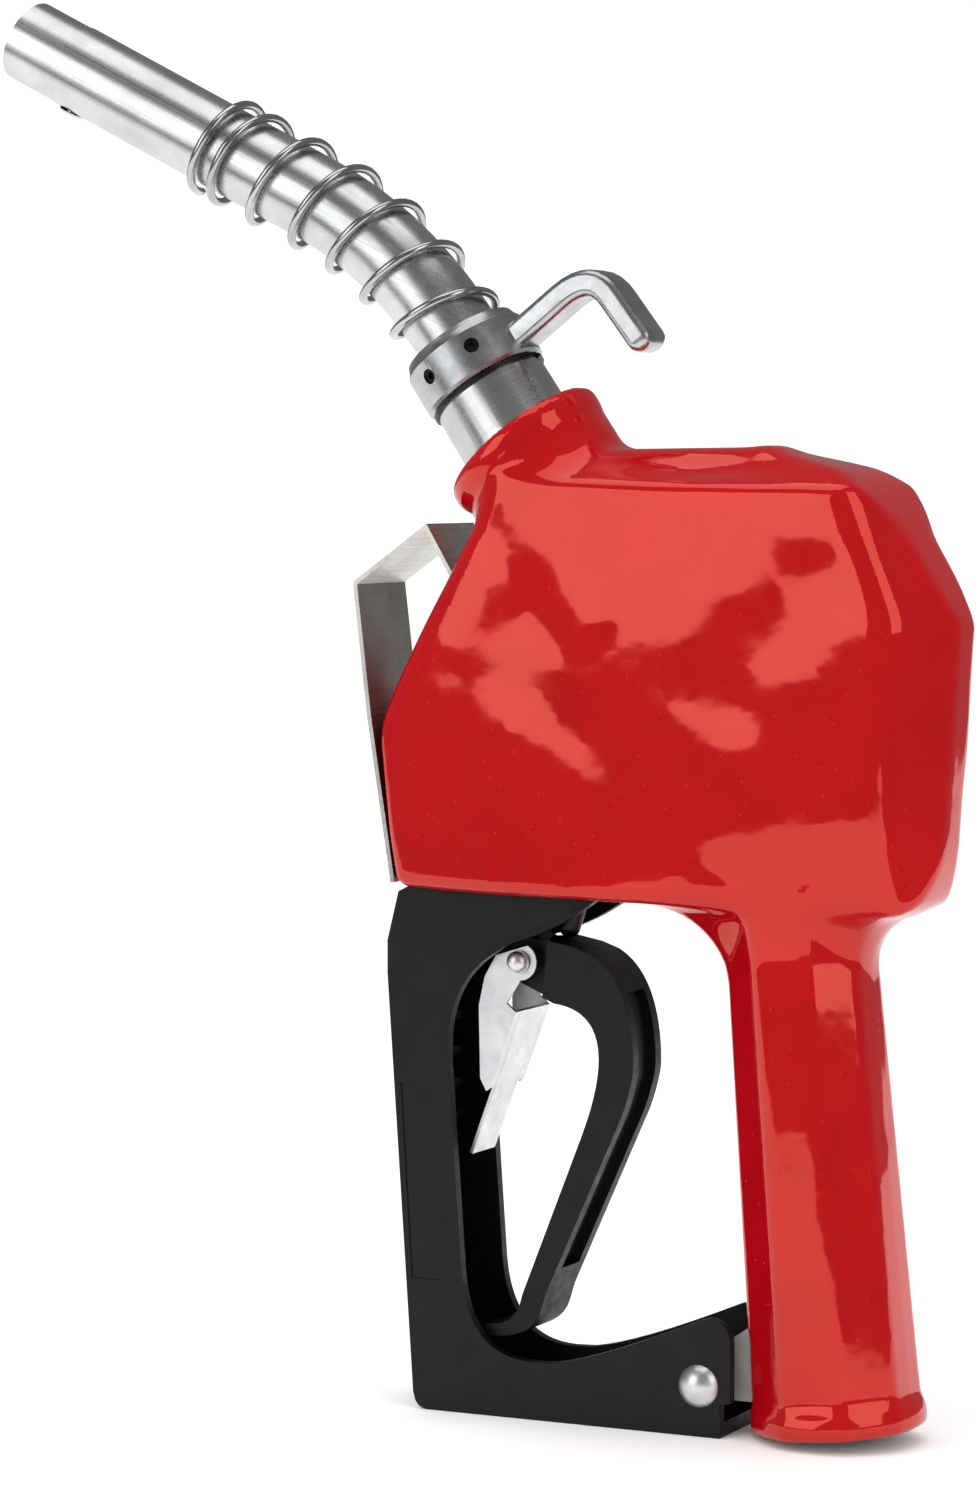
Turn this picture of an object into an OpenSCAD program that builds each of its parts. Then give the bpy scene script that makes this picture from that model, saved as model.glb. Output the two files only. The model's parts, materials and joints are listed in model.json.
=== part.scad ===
// Automatic shut-off fuel nozzle with a sleeved body, a lever guard and a spring-wrapped spout.
// Millimetres, +Z up. The origin is the centre of the inlet thread's mouth at the foot of the grip.
// +X points from the spout towards the grip, and the object is thin along Y.

/* [Spout] */
// Outside diameter of the spout tube
spout_od = 23.8; // [20:0.1:26]
// Wall of the spout tube
spout_wall = 1.5; // [1.2:0.1:2]
// Straight length of the spout past its bend
spout_len = 103; // [80:1:130]
// Length of the eased tip ahead of the sensing plug
tip_len = 17; // [12:0.5:17.5]
// Radius of the spout's bend at its centreline
bend_r = 120; // [110:1:130]
// Lean of the neck away from vertical
neck_lean = 34; // [32:1:36]
// Angle that the spout's bend turns through
bend_angle = 29; // [25:1:32]
// Wire diameter of the spring round the spout
coil_wire = 2.4; // [1.6:0.1:2.8]
// Distance between the open turns of that spring
coil_pitch = 15.3; // [12:0.1:17]
// Gap between the spout and that spring
coil_gap = 1; // [0.5:0.1:1.6]

/* [Hook ring] */
// Outside diameter of the hook ring
ring_od = 35.4; // [34:0.2:37]
// Length of the hook ring along the neck
ring_len = 15; // [13:0.5:17]
// Width of the hook across the nozzle
hook_w = 13; // [10:0.5:15]
// Thickness of the hook's bar
hook_t = 7.4; // [6:0.2:8]

/* [Body] */
// Thickness of the vinyl hand insulator
skin_t = 3.6; // [3:0.1:4]
// Half width of the body block's side pads, at the centres of their rounding
pad_y = 18; // [16:0.5:20]
// Rounding of the casting's corners
cast_round = 3.4; // [3:0.1:4]
// Outside diameter of the insulator's neck
neck_od = 44; // [42:0.5:46]
// Width of the grip across its flats at the top
grip_top = 36.6; // [34:0.2:40]
// Width of the grip across its flats at the bottom
grip_low = 41; // [38:0.2:44]
// Length of the grip along its axis
grip_len = 132; // [125:1:138]
// Lean of the grip away from vertical
grip_lean = 5; // [3:0.5:7]
// Radius of the inlet thread's bore, at the pitch line
inlet_r = 12.3; // [12:0.1:12.6]
// Length of the inlet thread
inlet_len = 20; // [16:1:24]

/* [Guard and strap] */
// Width of the lever guard
guard_w = 29; // [27:0.5:31]
// Wall of the lever guard
guard_wall = 3; // [2.5:0.1:3.2]
// Thickness of the hanger strap
strap_t = 1.2; // [1:0.1:1.5]
// Diameter of the guard rivet's domed head
rivet_d = 11.4; // [9:0.2:13]

/* [Lever and clip] */
// Width of the lever
lever_w = 19; // [17:0.5:20]
// Diameter of the lever pin
pin_d = 5; // [4.5:0.1:5.5]
// Thickness of the hold-open clip's sheet
clip_t = 1; // [0.8:0.1:1.2]

/* [Valve train] */
// Lean of the main valve's axis towards the grip
stem_lean = 18; // [17:0.5:19]
// Lean of the plunger's axis towards the front
plunger_lean = 12; // [11:0.5:13]
// Radius of the main valve's chamber
chamber_r = 16; // [15:0.2:16.4]
// Radius of the shut-off diaphragm's cap
cap_r = 16; // [15:0.2:16.4]

/* [Hidden] */
$fn = 64;

spout_r = spout_od / 2;
bore_r = spout_r - spout_wall;
tip_ease = 0.25;
mouth = [-93, 0, 259.5];
pin_at = [-89.6, 0, 120.5];
stem_at = [-80, 0, 128.1];

// Points of a quadratic curve from a to c that leaves and arrives pointing at b.
function curve(a, b, c, n = 8) =
    [for (i = [0:n]) let (t = i / n) (1 - t) * (1 - t) * a + 2 * t * (1 - t) * b + t * t * c];
// Points of a circular arc.
function arc(c, r, a0, a1, n = 6) =
    [for (i = [0:n]) let (a = a0 + (a1 - a0) * i / n) c + r * [cos(a), sin(a)]];

// Plates drawn as (x, z) outlines and given a thickness along Y.
module plate(y0, y1) {
    rotate([90, 0, 0]) translate([0, 0, -y1]) linear_extrude(y1 - y0) children();
}
// The same plate on both sides of the middle plane.
module plates(y0, y1) {
    plate(y0, y1) children();
    plate(-y1, -y0) children();
}
module both_sides() {
    children();
    mirror([0, 1, 0]) children();
}
// Frames whose local Z runs along an axis of the object.
module on_neck(d = 0) {
    translate(mouth) rotate([0, -neck_lean, 0]) translate([0, 0, d]) children();
}
module on_spout(d = 0) {
    on_neck(bend_start) translate([-bend_r, 0, 0]) rotate([0, -bend_angle, 0])
        translate([bend_r, 0, d]) children();
}
module on_grip(d = 0) {
    rotate([0, -grip_lean, 0]) translate([0, 0, d]) children();
}
module on_stem(d = 0) {
    translate(stem_at) rotate([0, stem_lean, 0]) translate([0, 0, d]) children();
}
module on_plunger(d = 0) {
    translate(pin_at) rotate([0, -plunger_lean, 0]) translate([0, 0, d]) children();
}
module tube(r_out, r_in, h) {
    rotate_extrude() translate([r_in, 0]) square([r_out - r_in, h]);
}
module ring(r_mid, r_wire) {
    rotate_extrude() translate([r_mid, 0]) circle(r_wire, $fn = 24);
}

// A wire swept along points: each entry of path is [point, direction across, direction up].
module swept(path, r, sides = 8) {
    n = len(path);
    pts = [for (p = path) for (k = [0:sides - 1])
        p[0] + r * (cos(360 * k / sides) * p[1] + sin(360 * k / sides) * p[2])];
    walls = [for (i = [0:n - 2]) for (k = [0:sides - 1]) let (j = (k + 1) % sides)
        [i * sides + k, i * sides + j, (i + 1) * sides + j, (i + 1) * sides + k]];
    low = [for (k = [sides - 1:-1:0]) k];
    high = [for (k = [0:sides - 1]) (n - 1) * sides + k];
    polyhedron(points = pts, faces = concat([low], walls, [high]), convexity = 10);
}
// A coil spring along local Z.
module coil(r_mid, wire, h, turns, sides = 6) {
    steps = 12 * turns;
    swept([for (i = [0:steps]) let (a = 30 * i)
        [[r_mid * cos(a), r_mid * sin(a), wire / 2 + (h - wire) * i / steps],
            [cos(a), sin(a), 0], [0, 0, 1]]], wire / 2, sides);
}

// The spout's centreline in the neck's frame, by length from the start of the bend.
bend_start = 36;
bend_len = bend_r * bend_angle * PI / 180;
function turn_at(s) = bend_angle * max(0, min(1, s / bend_len));
function spout_at(s) = let (a = turn_at(s), past = max(0, s - bend_len), before = min(0, s))
    [-bend_r * (1 - cos(a)) - past * sin(a), 0, bend_start + bend_r * sin(a) + past * cos(a) + before];
function spout_in(s) = let (a = turn_at(s)) [cos(a), 0, sin(a)];

// ---- Body ----
// Corners of the body block, as centres of their rounding, on the near half.
block = [[-118, 8, 147], [-124.5, 8, 184], [-97, 8, 232],
    [-92, pad_y - 1, 147], [-98, pad_y - 1, 184], [-80, pad_y - 2, 228],
    [-62, pad_y, 244], [-50, 9, 252], [-15, 9, 252], [2, pad_y, 243], [3, 5, 246.5],
    [16, pad_y, 212], [14, pad_y, 166], [8, pad_y - 3, 147],
    [28, 3, 213], [26, 3, 172], [21.5, 3, 149]];
module body_form(grow) {
    r = cast_round + grow;
    hull() both_sides() for (p = block) translate(p) sphere(r, $fn = 20);
    hull() {
        on_grip(grip_len - 14) rotate(22.5)
            cylinder(h = 4, r = (grip_top / 2 - skin_t + grow) / cos(22.5), $fn = 8);
        both_sides() for (p = [[-25, 10, 149], [1, 10, 149], [7, 3, 149]])
            translate(p) sphere(r, $fn = 20);
    }
    hull() on_grip(0) rotate(22.5) {
        cylinder(h = 2, r = (grip_low / 2 - skin_t + grow) / cos(22.5), $fn = 8);
        translate([0, 0, grip_len - 18])
            cylinder(h = 2, r = (grip_top / 2 - skin_t + grow) / cos(22.5), $fn = 8);
    }
    on_neck(-44) cylinder(h = 44, r = neck_od / 2 - skin_t + grow);
}
module hand_insulator() {
    color([0.72, 0.03, 0.06]) difference() {
        union() {
            body_form(skin_t);
            on_neck(-7) tube(neck_od / 2 + 1.6, neck_od / 2 - 4, 7);
            on_grip(-1.2) tube(22.6, 19, 6);
        }
        body_form(0.05);
        on_grip(-10) cylinder(h = 20, r = 18.4);
        on_neck(-4) cylinder(h = 6, r = 18.2);
        translate([-126, -guard_w / 2 - 0.8, 130]) cube([74.5, guard_w + 1.6, 14]);
        strap_window();
        lug_space();
        strap_screw_low() cylinder(h = 20, r = 2, center = true);
        strap_screw_high() cylinder(h = 20, r = 2, center = true);
        on_plunger(68) cylinder(h = 16, r = cap_r + 0.3);
    }
}
// Where the strap's top end passes through the insulator.
module strap_window() {
    translate([-113, -15, 224.5]) rotate([0, 32, 0]) cube([8, 30, 16]);
}
module lug_space() {
    translate([-30, -9, 2]) cube([14, 18, 26]);
}

module body_casting() {
    color([0.7, 0.71, 0.72]) difference() {
        union() {
            body_form(0);
            on_grip(0.3) cylinder(h = 8, r = 18.2);
            on_neck(-3) cylinder(h = 2.9, r = 18);
            lug();
        }
        on_grip(-1) cylinder(h = inlet_len + 1, r = inlet_r);
        on_grip(inlet_len - 1) cylinder(h = 128, r = 10.5);
        on_stem(66.1) cylinder(h = 100, r = chamber_r);
        on_stem(52) cylinder(h = 15, r = 11);
        on_stem(20) cylinder(h = 40, r = 3.05);
        on_stem(12) cylinder(h = 14, r = 6.5);
        on_neck(-40) cylinder(h = 50, r = 17);
        on_neck(-74) cylinder(h = 40, r = 9);
        on_plunger(12) cylinder(h = 48, r = 5.05);
        on_plunger(27) cylinder(h = 25, r = 7.5);
        on_plunger(60) cylinder(h = 70, r = cap_r + 0.1);
        rivet_hole();
        strap_holes();
        guard_screw_at() cylinder(h = 16, r = 2);
    }
}
// The lug on the grip that the guard's rivet passes through.
rivet_at = [-34.9, 0, 9.6];
module lug() {
    plate(-7, 7) polygon(concat([[-12, 5], [-12, 26]], [[-22, 26]],
        arc([rivet_at[0], rivet_at[2] + 2], 6.5, 80, 270)));
}
module rivet_hole() {
    translate(rivet_at) rotate([90, 0, 0]) cylinder(h = 60, r = 3.1, center = true);
}
module guard_screw_at() {
    for (x = [-114, -103]) translate([x, 0, 135.5]) children();
}
module strap_holes() {
    strap_screw_low() cylinder(h = 14, r = 1.7, center = true);
    strap_screw_high() cylinder(h = 14, r = 1.7, center = true);
}
module strap_screw_low() {
    for (y = [-8, 8]) translate([-126, y, 152]) rotate([0, 82, 0]) children();
}
module strap_screw_high() {
    for (y = [-8, 8]) translate([-105.5, y, 224]) rotate([0, 122, 0]) children();
}

// ---- Spout ----
module spout_adapter() {
    color([0.75, 0.76, 0.77]) on_neck(0) {
        rotate_extrude() difference() {
            polygon([[0, -38], [16.9, -38], [16.9, 0.2], [17.3, 1], [16.4, 4], [16.2, 19], [15.4, 19],
                [15.4, 20.2], [15, 20.2], [15, 35], [0, 35]]);
            translate([0, -16]) square([spout_r + 0.02, 60]);
            translate([0, -40]) square([11, 30]);
            translate([15.6, -31]) square([3, 3]);
        }
        translate([-11.5, -1.5, -17]) cube([23, 3, 1]);
    }
}
module adapter_o_ring() {
    color([0.08, 0.08, 0.08]) on_neck(-29.5) rotate_extrude() translate([16.3, 0])
        circle(0.68, $fn = 24);
}
module snap_ring() {
    color([0.15, 0.15, 0.15]) on_neck(19) difference() {
        tube(17, 15.45, 1.1);
        translate([0, -2, -1]) cube([30, 4, 4]);
    }
}
module spout_tube() {
    color([0.78, 0.79, 0.8]) difference() {
        union() {
            on_neck(-15.9) tube(spout_r, bore_r, bend_start + 15.9);
            on_neck(bend_start) translate([-bend_r, 0, 0]) rotate([90, 0, 0])
                rotate_extrude(angle = bend_angle, $fn = 120) translate([bend_r, 0]) difference() {
                    circle(spout_r);
                    circle(bore_r);
                }
            on_spout() tube(spout_r, bore_r, spout_len - tip_len);
            on_spout(spout_len - tip_len) tube(spout_r - tip_ease, bore_r, tip_len);
            on_neck(bend_start - 1) bend_joint();
            on_spout(-1) bend_joint();
        }
        on_spout(spout_len - 22) rotate([0, -90, 0]) cylinder(h = 20, r = 2);
    }
}
// Metal inside the wall that carries the straight lengths into the bend.
module bend_joint() {
    tube(spout_r - 0.3, bore_r + 0.3, 2);
}
module spout_o_ring() {
    color([0.08, 0.08, 0.08]) on_neck(-15.98) tube(11.6, 11.02, 0.06);
}
module vacuum_tube() {
    lift = bore_r - 2.6;
    color([0.7, 0.6, 0.4]) on_neck(0) swept([for (s = [-50:6:bend_len + spout_len - 16])
        [spout_at(s) - lift * spout_in(s), [0, 1, 0], -spout_in(s)]], 2.2, 8);
}
module sensing_plug() {
    color([0.7, 0.71, 0.72]) on_spout(spout_len - 22) rotate([0, -90, 0]) {
        translate([0, 0, bore_r - 0.3]) tube(1.95, 0.9, 2.2);
        translate([0, 0, spout_r + 0.03]) rotate_extrude()
            polygon([[0.9, 0], [4, 0], [3.4, 0.7], [2, 0.9], [0.9, 0.9]]);
    }
}
// The outer spring closes up over its last turn at the tip end.
coil_r = spout_r + coil_wire / 2 + coil_gap;
open_turns = 5.47;
closed_turns = 1.31;
closed_pitch = 6.9;
coil_phase = 267;
coil_step = 18;
function coil_at(a) = let (t = a / 360) min(t, open_turns) * coil_pitch
    + max(0, t - open_turns) * closed_pitch;
module spout_spring() {
    color([0.8, 0.8, 0.8]) on_neck(0)
        swept([for (i = [0:(open_turns + closed_turns) * 360 / coil_step])
            let (a = i * coil_step, s = coil_at(a) + coil_wire / 2 + 0.2, u = spout_in(s),
                out = cos(a + coil_phase) * u - [0, sin(a + coil_phase), 0],
                ahead = cross([0, 1, 0], u))
            [spout_at(s) + coil_r * out, out, ahead]], coil_wire / 2, 8);
}

// ---- Hook ring ----
module hook_ring() {
    color([0.66, 0.67, 0.68]) difference() {
        union() {
            on_neck(20.4) rotate_extrude() polygon([[15, 0], [16.6, 0], [ring_od / 2, 1],
                [ring_od / 2, ring_len - 3], [16.8, ring_len - 1.6], [16.2, ring_len], [15, ring_len]]);
            hook();
        }
        for (a = [-62, -112]) on_neck(20.4 + ring_len / 2) rotate([0, 90, a])
            cylinder(h = 30, r = 2.1);
        on_neck(0) cylinder(h = 60, r = 15.05);
    }
}
// Centreline of the hook's bar, from inside the ring over the crest to its tip.
hook_line = concat([[-99.5, 285.6]], curve([-80.5, 300.4], [-71, 307.6], [-65.4, 299.6], 8),
    [[-57.2, 288.8]]);
hook_round = 2.2;
// Corners of the bar's section, as [across, up] points of a rectangle with rounded corners.
function bar_section(w, t) = [for (k = [0:3]) for (a = [0:30:90])
    let (sx = k == 0 || k == 3 ? 1 : -1, sy = k < 2 ? 1 : -1)
    [sx * (w / 2 - hook_round), sy * (t / 2 - hook_round)]
        + hook_round * [cos(a + 90 * k), sin(a + 90 * k)]];
module hook() {
    n = len(hook_line);
    end = unit(hook_line[n - 1] - hook_line[n - 2]);
    // Past the last point the bar shrinks over a rounded end.
    round_end = [for (a = [0:18:72]) [hook_line[n - 1] + end * hook_t / 2 * sin(a), cos(a)]];
    stations = concat([for (i = [0:n - 2]) [hook_line[i], 1]], round_end);
    section = bar_section(hook_w, hook_t);
    m = len(section);
    last = len(stations) - 1;
    pts = [for (i = [0:last]) let (at = stations[i][0],
            ahead = unit(stations[min(i + 1, last)][0] - stations[max(i - 1, 0)][0]), up = left_of(ahead))
        for (q = section) let (inset = (1 - stations[i][1]) * hook_t / 2,
            across = sign(q[0]) * max(0.2, abs(q[0]) - inset), rise = q[1] * max(stations[i][1], 0.15))
            [at[0] + up[0] * rise, across, at[1] + up[1] * rise]];
    walls = [for (i = [0:last - 1]) for (k = [0:m - 1]) let (j = (k + 1) % m)
        [i * m + k, (i + 1) * m + k, (i + 1) * m + j, i * m + j]];
    polyhedron(points = pts, convexity = 6, faces = concat([[for (k = [0:m - 1]) k]], walls,
        [[for (k = [m - 1:-1:0]) last * m + k]]));
}
module hook_set_screws() {
    color([0.1, 0.1, 0.1]) for (a = [-62, -112]) on_neck(20.4 + ring_len / 2) rotate([0, 90, a])
        translate([0, 0, 15.05]) difference() {
            cylinder(h = 1.9, r = 2.09);
            translate([0, 0, 0.9]) cylinder(h = 3, r = 1.15, $fn = 6);
        }
}

// ---- Hanger strap ----
// Inner line of the strap, from the casting's foot up the front and back into the neck.
strap_line = [[-125.8, 141], [-132.9, 186], [-137.2, 222.5], [-116.3, 237.4], [-107.5, 222.6]];
function unit(v) = v / norm(v);
function left_of(v) = [-v[1], v[0]];
// The same line moved sideways by d, with mitred corners.
function beside(line, d) = let (n = len(line)) [for (i = [0:n - 1])
    let (a = unit(line[min(i + 1, n - 1)] - line[min(i, n - 2)]),
        b = unit(line[max(i, 1)] - line[max(i - 1, 0)]), m = left_of(unit(a + b)))
    line[i] + m * d / (m * left_of(a))];
function reversed(line) = [for (i = [len(line) - 1:-1:0]) line[i]];
module hanger_strap() {
    color([0.8, 0.79, 0.74]) difference() {
        plate(-guard_w / 2, guard_w / 2)
            polygon(concat(strap_line, reversed(beside(strap_line, strap_t))));
        strap_holes();
    }
}
module strap_screws() {
    color([0.75, 0.75, 0.75]) {
        strap_screw_low() translate([0, 0, -1.5]) strap_screw();
        strap_screw_high() translate([0, 0, -4]) strap_screw();
    }
}
module strap_screw() {
    cylinder(h = 8, r = 1.65);
}

// ---- Lever guard ----
guard_outline = concat([[-118, 141.9], [-124.6, 138.6], [-128, 125], [-128, 116], [-120.2, 0]],
    arc([-116, 0], 4, 180, 270), [[-28.6, -4], [-28.6, 5], [-25.6, 5.6]],
    arc([-31.6, 22], 6, 0, 100), curve([-34.6, 27.2], [-65, 14], [-78, 12]),
    curve([-84, 11.8], [-103.5, 12], [-105.4, 35], 16), [[-109.4, 92]],
    curve([-109.4, 98], [-108.8, 114], [-96.8, 122], 14), [[-91.5, 125.3]],
    curve([-86, 127.3], [-75.5, 130.6], [-65, 138.6]), [[-65, 141.9]]);
module lever_guard() {
    color([0.13, 0.13, 0.12]) difference() {
        union() {
            plates(guard_w / 2 - guard_wall, guard_w / 2) polygon(guard_outline);
            plate(-guard_w / 2 + 1, guard_w / 2 - 1) polygon(concat([[-97, 141.9], [-118, 141.9],
                [-124.6, 138.6], [-128, 125], [-128, 116], [-120.2, 0]], arc([-116, 0], 4, 180, 270),
                [[-28.6, -4], [-28.6, 0], [-112, 0], [-116.2, 4], [-123.6, 112], [-123.6, 125],
                [-120.4, 136], [-99, 136]]));
            for (z = [76, 85, 94, 104]) rack_tooth(z);
            plates(guard_w / 2 - 1, guard_w / 2 + 0.4) polygon(concat([[-116.5, 141.4], [-97.4, 124.2]],
                curve([-96.6, 124.6], [-79, 130.6], [-66, 138.8]), [[-66, 141.4]]));
        }
        rivet_hole();
        guard_screw_at() translate([0, 0, -10]) cylinder(h = 40, r = 2.1);
        on_plunger(8) cylinder(h = 24, r = 5.5);
        side_panel();
    }
}
module rack_tooth(z) {
    plate(-9, 9) polygon([[-124.6, z - 3], [-116.6, z - 2.4], [-115.4, z + 0.4], [-118.8, z + 2.6],
        [-124.6, z + 3]]);
}
// A shallow plain panel on each side of the guard's front.
module side_panel() {
    plates(guard_w / 2 - 0.4, guard_w / 2 + 1) polygon([[-120.6, 32], [-111.6, 32], [-114.6, 86],
        [-124, 86]]);
}
module guard_screws() {
    color([0.7, 0.7, 0.7]) guard_screw_at() translate([0, 0, -2.4]) {
        cylinder(h = 2.8, r = 3.6);
        cylinder(h = 14, r = 1.95);
    }
}
module guard_rivet() {
    half = guard_w / 2;
    dome = 3;
    color([0.82, 0.83, 0.84]) translate(rivet_at) rotate([90, 0, 0]) {
        cylinder(h = guard_w, r = 3.05, center = true);
        for (side = [0, 1]) mirror([0, 0, side]) translate([0, 0, half]) difference() {
            translate([0, 0, dome - dome_r(dome)]) sphere(dome_r(dome));
            translate([0, 0, -40]) cylinder(h = 40, r = 30);
        }
    }
}
function dome_r(h) = (rivet_d * rivet_d / 4 + h * h) / (2 * h);

// ---- Lever ----
half_channel = 5.6;
lever_outline = concat(arc([pin_at[0], pin_at[2]], 6.6, 230, 60, 10), [[-82.5, 126.6], [-74, 125]],
    curve([-69, 123.2], [-57.5, 117], [-56.4, 96], 16), curve([-56.4, 92], [-57, 87], [-59.6, 80], 5),
    [[-82.2, 30]], curve([-83.6, 25.5], [-86, 16.5], [-100.6, 17]),
    arc([-100.4, 18.6], 1.6, 250, 90, 3), curve([-96, 20.6], [-90.4, 22.5], [-89.4, 29], 4),
    curve([-71.5, 74], [-58.4, 107.5], [-80, 109.4], 18));
module lever() {
    half = lever_w / 2;
    color([0.11, 0.11, 0.11]) difference() {
        union() {
            plate(-half, half) difference() {
                polygon(lever_outline);
                polygon([[-100, 100], [-100, 135], [-80.8, 135], [-84.6, 100]]);
            }
            plate(-half + 2.8, half - 2.8) polygon(lever_outline);
        }
        plate(-4.4, 4.4) translate([pin_at[0], pin_at[2]]) circle(9.4);
        lever_pin_hole(pin_d / 2 + 0.04);
        lever_groove();
        lever_channel();
    }
}
// The shallow channel down the lever's outer side, between its two rims.
module lever_channel() {
    plate(-half_channel, half_channel) polygon(concat([[-40, 113]],
        curve([-62, 113], [-59, 107], [-58.8, 96]), [[-59, 90], [-62, 80.6], [-82, 36.5], [-40, 36.5]]));
}
// The hollow down the lever's inner side, where the clip folds in.
module lever_groove() {
    plate(-5, 5) polygon(concat([[-92, 40]], [[-76.6, 72]], curve([-76.6, 72], [-66, 100], [-84, 107.6], 6),
        [[-100, 107]]));
}
module lever_pin_hole(r) {
    translate(pin_at) rotate([90, 0, 0]) cylinder(h = 60, r = r, center = true);
}
module lever_pin() {
    color([0.8, 0.81, 0.82]) translate(pin_at) rotate([90, 0, 0]) {
        cylinder(h = 24, r = pin_d / 2, center = true);
        for (side = [0, 1]) mirror([0, 0, side]) translate([0, 0, 11.1]) {
            translate([0, 0, 0.4]) cylinder(h = 0.9, r = 3.15);
            difference() {
                translate([0, 0, 0.4]) sphere(3.2);
                translate([0, 0, -10.6]) cylinder(h = 11, r = 5);
            }
        }
    }
}

// ---- Hold-open clip ----
clip_y = 11 - clip_t;
web_top = [-90.6, 106.6];
web_low = [-98.6, 85.4];
web_tip = [-105.6, 66.4];
module hold_open_clip() {
    color([0.83, 0.84, 0.85]) difference() {
        union() {
            plates(clip_y, clip_y + clip_t) clip_cheek();
            plate(-clip_y - clip_t, clip_y + clip_t) clip_web(web_top, web_low);
            plate(-7, 7) clip_web(web_top, web_tip);
        }
        lever_pin_hole(pin_d / 2 + 0.04);
    }
}
module clip_cheek() {
    polygon(concat(arc([pin_at[0], pin_at[2]], 5.2, 60, -90, 8), [[-93.4, 109], web_top, web_low,
        [-99.6, 84.6], [-101.4, 88], [-101.8, 108], [-100, 116], [-96.6, 122]]));
}
module clip_web(a, b) {
    polygon([a, b, b + clip_t * [-0.93, 0.36], a + clip_t * [-0.93, 0.36]]);
}
module clip_spring() {
    color([0.75, 0.75, 0.75]) both_sides() translate(pin_at + [0, 7.1, 0]) rotate([-90, 0, 0])
        coil(3.3, 0.6, 2.7, 3, 6);
}

// ---- Plunger and shut-off ----
module plunger() {
    color([0.8, 0.75, 0.5]) difference() {
        union() {
            on_plunger(11) cylinder(h = 44, r = 5);
            on_plunger(42) cylinder(h = 3, r = 7.3);
            plate(-4.2, 4.2) hull() {
                translate([pin_at[0], pin_at[2]]) circle(4.6);
                translate([pin_at[0] - 2.6, pin_at[2] + 12]) circle(3.6);
            }
        }
        lever_pin_hole(pin_d / 2);
        on_plunger(36) cylinder(h = 30, r = 2.6);
        on_plunger(50) rotate([0, 90, 0]) cylinder(h = 30, r = 1.55, center = true);
    }
}
module plunger_spring() {
    color([0.75, 0.75, 0.75]) on_plunger(27.3) coil(6.2, 0.9, 14.4, 5, 6);
}
module latch_balls() {
    color([0.8, 0.8, 0.8]) on_plunger(50) for (x = [-3.45, 3.45]) translate([x, 0, 0]) sphere(1.5, $fn = 24);
}
module latch_pin() {
    color([0.75, 0.76, 0.78]) on_plunger(0) {
        translate([0, 0, 46]) cylinder(h = 22, r = 1.9);
        translate([0, 0, 67.4]) cylinder(h = 1.2, r = 7);
    }
}
module diaphragm() {
    color([0.2, 0.2, 0.2]) on_plunger(68.6) rotate_extrude()
        polygon([[0, 0], [8.4, 0], [9.8, -1.6], [11.2, 0], [13, 0], [13, 1], [11.2, 1],
            [9.8, -0.6], [8.4, 1], [0, 1]]);
}
module diaphragm_spring() {
    color([0.75, 0.75, 0.75]) on_plunger(69.8) coil(5, 0.8, 10, 4, 6);
}
module diaphragm_cap() {
    color([0.7, 0.71, 0.72]) difference() {
        on_plunger(70) rotate_extrude()
            polygon([[0, 10.2], [0, 12.4], [8, 12.4], [10.6, 9], [cap_r, 9], [cap_r, 0], [13.3, 0],
                [13.3, 4.2], [10.4, 7.6], [7, 10.2]]);
        diaphragm_screw_at() translate([0, 0, -5]) cylinder(h = 20, r = 1.05);
    }
}
module diaphragm_screw_at() {
    on_plunger(70) for (a = [45:90:315]) rotate(a) translate([14.5, 0, 0]) children();
}
module diaphragm_screws() {
    color([0.75, 0.75, 0.75]) diaphragm_screw_at() {
        translate([0, 0, 9.02]) cylinder(h = 1.6, r = 1.45);
        cylinder(h = 10, r = 1);
    }
}

// ---- Main valve ----
module valve_stem() {
    color([0.78, 0.78, 0.8]) on_stem(0) {
        translate([0, 0, 1.5]) cylinder(h = 67, r = 3);
        translate([0, 0, 1.5]) sphere(3);
    }
}
module main_poppet() {
    color([0.75, 0.68, 0.4]) on_stem(68.5) rotate_extrude()
        polygon([[0, 0], [14.4, 0], [15, 1], [15, 4], [9, 5], [5, 12], [0, 12]]);
}
module poppet_seal() {
    color([0.1, 0.1, 0.1]) on_stem(66.4) tube(14.6, 3.1, 2.05);
}
module poppet_spring() {
    color([0.75, 0.75, 0.75]) on_stem(73.6) coil(10.5, 1.6, 44.6, 7, 6);
}
module poppet_cap() {
    color([0.72, 0.73, 0.74]) on_stem(114.5) difference() {
        union() {
            cylinder(h = 10, r = chamber_r - 0.02);
            cylinder(h = 12, r = 10 / cos(30), $fn = 6);
        }
        translate([0, 0, -1]) cylinder(h = 5, r = 13);
        translate([0, 0, 5]) rotate_extrude() translate([chamber_r - 1.3, 0]) square([3, 2.6]);
    }
}
module cap_o_ring() {
    color([0.08, 0.08, 0.08]) on_stem(120.8) ring(chamber_r - 0.68, 0.62);
}
module stem_packing() {
    color([0.9, 0.9, 0.86]) on_stem(18.2) tube(6.45, 3.06, 6);
}
module packing_nut() {
    color([0.75, 0.65, 0.35]) on_stem(12.1) difference() {
        cylinder(h = 6, r = 6.45);
        translate([0, 0, -1]) cylinder(h = 8, r = 3.06);
        translate([-7, -1, -1]) cube([14, 2, 2]);
    }
}

// ---- Check valve in the neck ----
module check_seat() {
    color([0.72, 0.73, 0.74]) on_neck(-37.9) rotate_extrude()
        polygon([[10.95, 0], [10.95, 12], [10.2, 12], [8, 6], [8, 0]]);
}
module check_poppet() {
    color([0.75, 0.68, 0.4]) on_neck(-31.5) rotate_extrude()
        polygon([[0, 0], [8.6, 2.3], [8.6, 3.4], [3, 4.4], [3, 9], [0, 9]]);
}
module check_spring() {
    color([0.75, 0.75, 0.75]) on_neck(-27) coil(4.2, 0.7, 9.8, 5, 6);
}

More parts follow.
